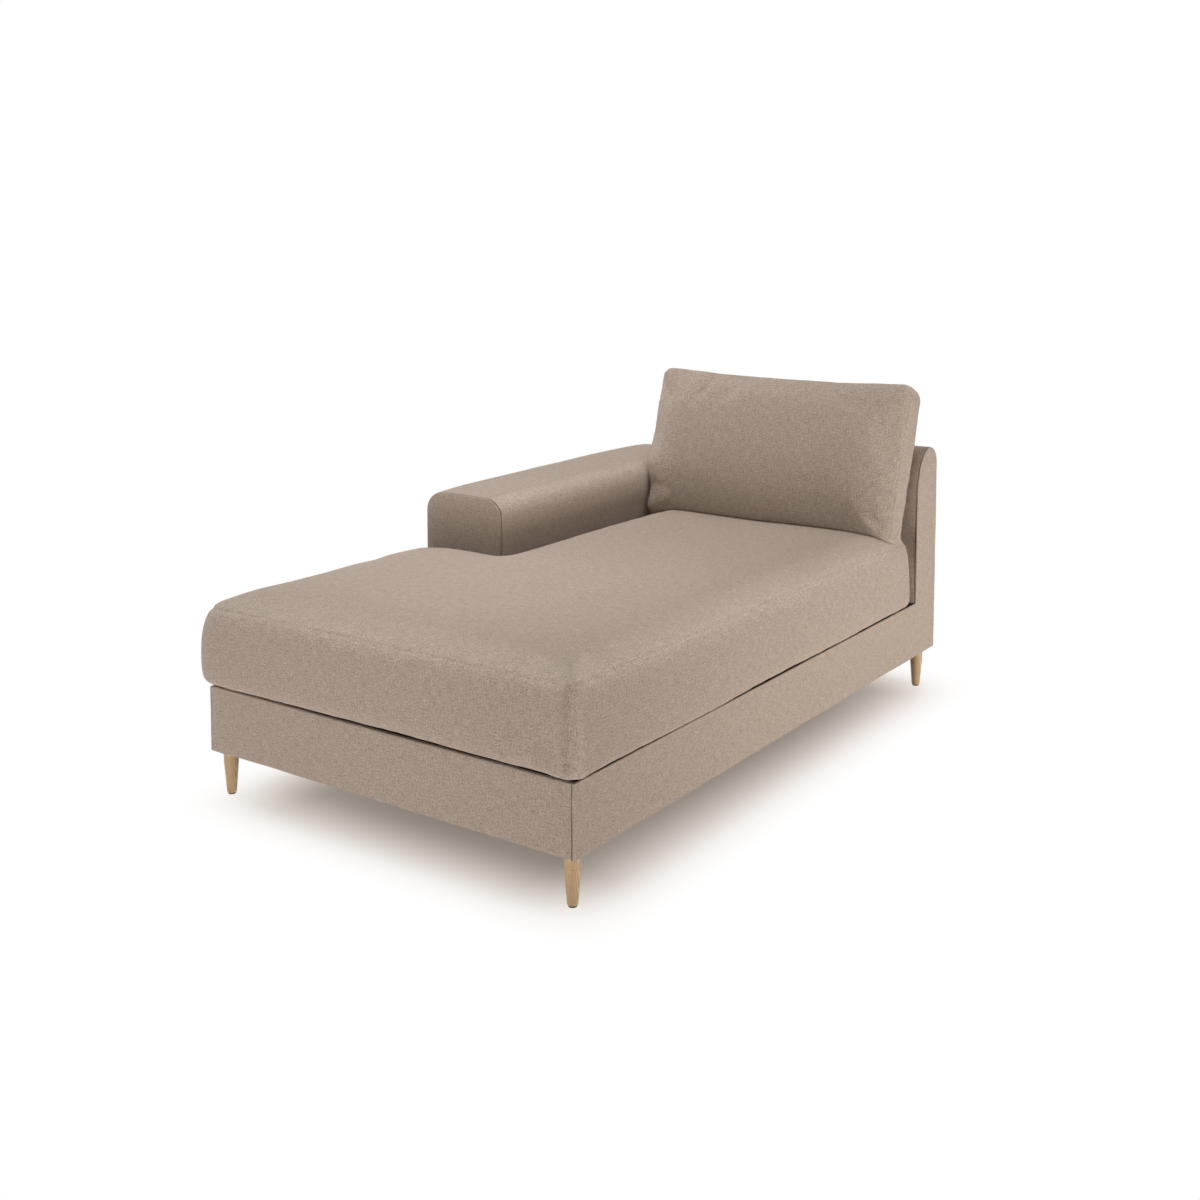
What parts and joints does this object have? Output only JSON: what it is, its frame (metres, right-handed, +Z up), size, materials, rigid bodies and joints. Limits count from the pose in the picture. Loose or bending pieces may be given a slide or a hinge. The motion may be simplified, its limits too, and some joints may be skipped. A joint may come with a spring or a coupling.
{
  "type": "chaise longue",
  "caption": "Upholstered chaise module with a low arm along one side, a low back, a notched loose seat cushion, a leaning back cushion and turned wooden legs.",
  "frame": {"origin": "on the floor, under the middle of the bounding box", "axes": "+Z up, +Y towards the back, +X towards the open side, so the arm is on the -X side"},
  "size_m": [1.04, 1.72, 0.8399],
  "materials": {
    "upholstery_cloth": "matt two-tone plain weave in warm taupe",
    "lining_cloth": "matt bonded lining",
    "zip_tape": "woven tape with fine coil teeth",
    "elastic_webbing": "ribbed elastic strap",
    "padding": "soft polyester wadding and felt",
    "cushion_foam": "open-cell foam",
    "leg_wood": "light oak, clear satin lacquer",
    "glide_plastic": "moulded, matt",
    "bolt_steel": "zinc plated",
    "fibreboard": "bare thin hardboard",
    "plywood": "bare birch plywood",
    "frame_timber": "bare planed softwood"
  },
  "bodies": {
    "frame": {"arm_front_facing": "upholstery_cloth", "arm_front_padding": "padding", "arm_front_panel": "plywood", "arm_inner_board": "fibreboard", "arm_middle_panel": "plywood", "arm_outer_board": "fibreboard", "arm_padding": "padding", "arm_rear_facing": "upholstery_cloth", "arm_rear_panel": "plywood", "arm_top_board": "fibreboard", "arm_wrap_cover": "upholstery_cloth", "back_left_facing": "upholstery_cloth", "back_padding": "padding", "back_rear_board": "fibreboard", "back_ribs": "plywood", "back_top_rail": "frame_timber", "back_webbing": "elastic_webbing", "back_wrap_cover": "upholstery_cloth", "base_arm_front_rail": "frame_timber", "base_arm_rail": "frame_timber", "base_back_rail": "frame_timber", "base_corner_blocks": "frame_timber", "base_cross_rails": "frame_timber", "base_front_cover": "upholstery_cloth", "base_front_padding": "padding", "base_front_rail": "frame_timber", "base_left_cover": "upholstery_cloth", "base_left_padding": "padding", "base_left_rail": "frame_timber", "base_rear_padding": "padding", "base_right_padding": "padding", "base_right_rail": "frame_timber", "base_seat_rear_rail": "frame_timber", "deck_cloth": "lining_cloth", "deck_pad": "padding", "dust_cover": "lining_cloth", "front_legs": "leg_wood", "leg_glides": "glide_plastic", "leg_hanger_bolts": "bolt_steel", "rear_legs": "leg_wood", "right_side_cover": "upholstery_cloth", "seat_webbing_cross": "elastic_webbing", "seat_webbing_long": "elastic_webbing"},
    "seat_cushion": {"seat_cushion_core": "cushion_foam", "seat_cushion_cover": "upholstery_cloth", "seat_cushion_topper": "cushion_foam", "seat_cushion_zip": "zip_tape"},
    "back_cushion": {"back_cushion_core": "cushion_foam", "back_cushion_cover": "upholstery_cloth", "back_cushion_front_fibre": "padding", "back_cushion_rear_fibre": "padding", "back_cushion_zip": "zip_tape"}
  },
  "joints": [
    {"name": "seat_cushion_lift", "type": "slide", "parent": "frame", "child": "seat_cushion", "axis": [0, 0, 1], "range_m": [0, 0.4]},
    {"name": "back_cushion_lift", "type": "slide", "parent": "seat_cushion", "child": "back_cushion", "axis": [0, 0, 1], "range_m": [0, 0.25]}
  ]
}
